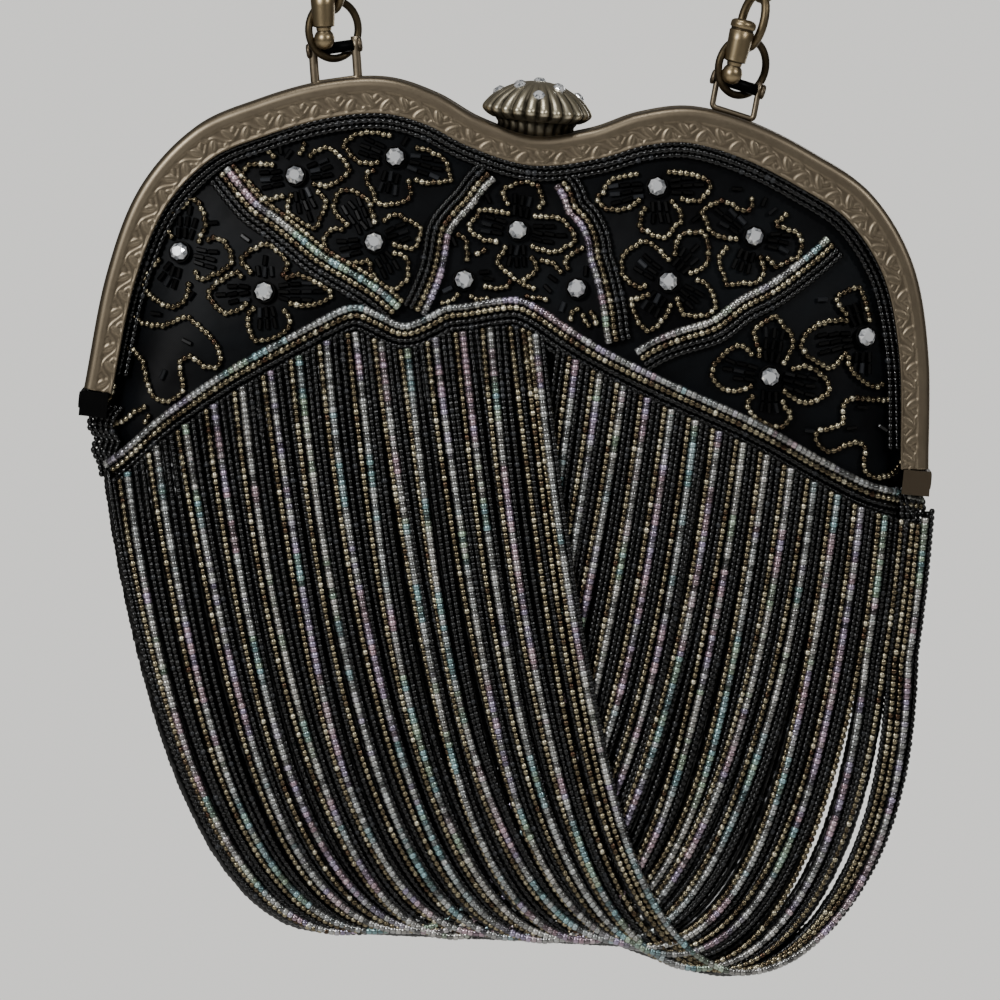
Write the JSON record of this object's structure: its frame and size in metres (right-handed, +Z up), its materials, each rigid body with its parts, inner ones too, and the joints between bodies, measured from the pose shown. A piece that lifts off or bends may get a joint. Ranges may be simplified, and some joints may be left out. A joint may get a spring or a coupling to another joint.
{
  "type": "beaded flapper purse",
  "caption": "Evening purse with a scalloped metal frame, fluted clasp knob, chain handle and draped bead swags over a satin pouch.",
  "frame": {"origin": "top of the chain handle, at the middle of its wire, where the purse hangs", "axes": "+Z up, -Y out of the beaded front, +X to the right as seen from the front"},
  "size_m": [0.2072, 0.0328, 0.3563],
  "materials": {
    "antique_pewter": "satin, antiqued to a warm grey",
    "clasp_metal": "polished ribs, darkened grooves",
    "antique_brass": "dark antique brass",
    "black_satin": "black satin",
    "jet_beads": "opaque black seed beads",
    "pearly_beads": "silver-lined seed beads with a rainbow coat",
    "bronze_beads": "metallic bronze seed beads",
    "crystal": "foiled clear cut stones"
  },
  "bodies": {
    "purse": {"frame_front": "antique_pewter", "frame_back": "antique_pewter", "hinge_left": "antique_pewter", "hinge_right": "antique_pewter", "bail_left": "antique_pewter", "bail_right": "antique_pewter", "snap_hook_left": "antique_brass", "snap_hook_right": "antique_brass", "chain": "antique_brass", "pouch_front": "black_satin", "pouch_back": "black_satin", "edge_piping": "jet_beads", "trim_band_main": "pearly_beads", "trim_band_left_outer": "pearly_beads", "trim_band_left_inner": "pearly_beads", "trim_band_right_inner": "pearly_beads", "trim_band_right_outer": "pearly_beads", "swag_over": "bronze_beads", "swag_under": "bronze_beads", "rhinestone_01": "crystal", "rhinestone_02": "crystal", "rhinestone_03": "crystal", "rhinestone_04": "crystal", "rhinestone_05": "crystal", "rhinestone_06": "crystal", "rhinestone_07": "crystal", "rhinestone_08": "crystal", "rhinestone_09": "crystal", "rhinestone_10": "crystal", "rhinestone_11": "crystal", "rhinestone_12": "crystal", "rhinestone_13": "crystal"},
    "clasp": {"clasp_knob": "clasp_metal"}
  },
  "joints": [
    {"name": "clasp_press", "type": "slide", "parent": "purse", "child": "clasp", "axis": [-0.0958, 0, -0.9954], "range_m": [0, 0.0015], "stiffness_N_per_m": 400, "springref_m": -0.003}
  ]
}
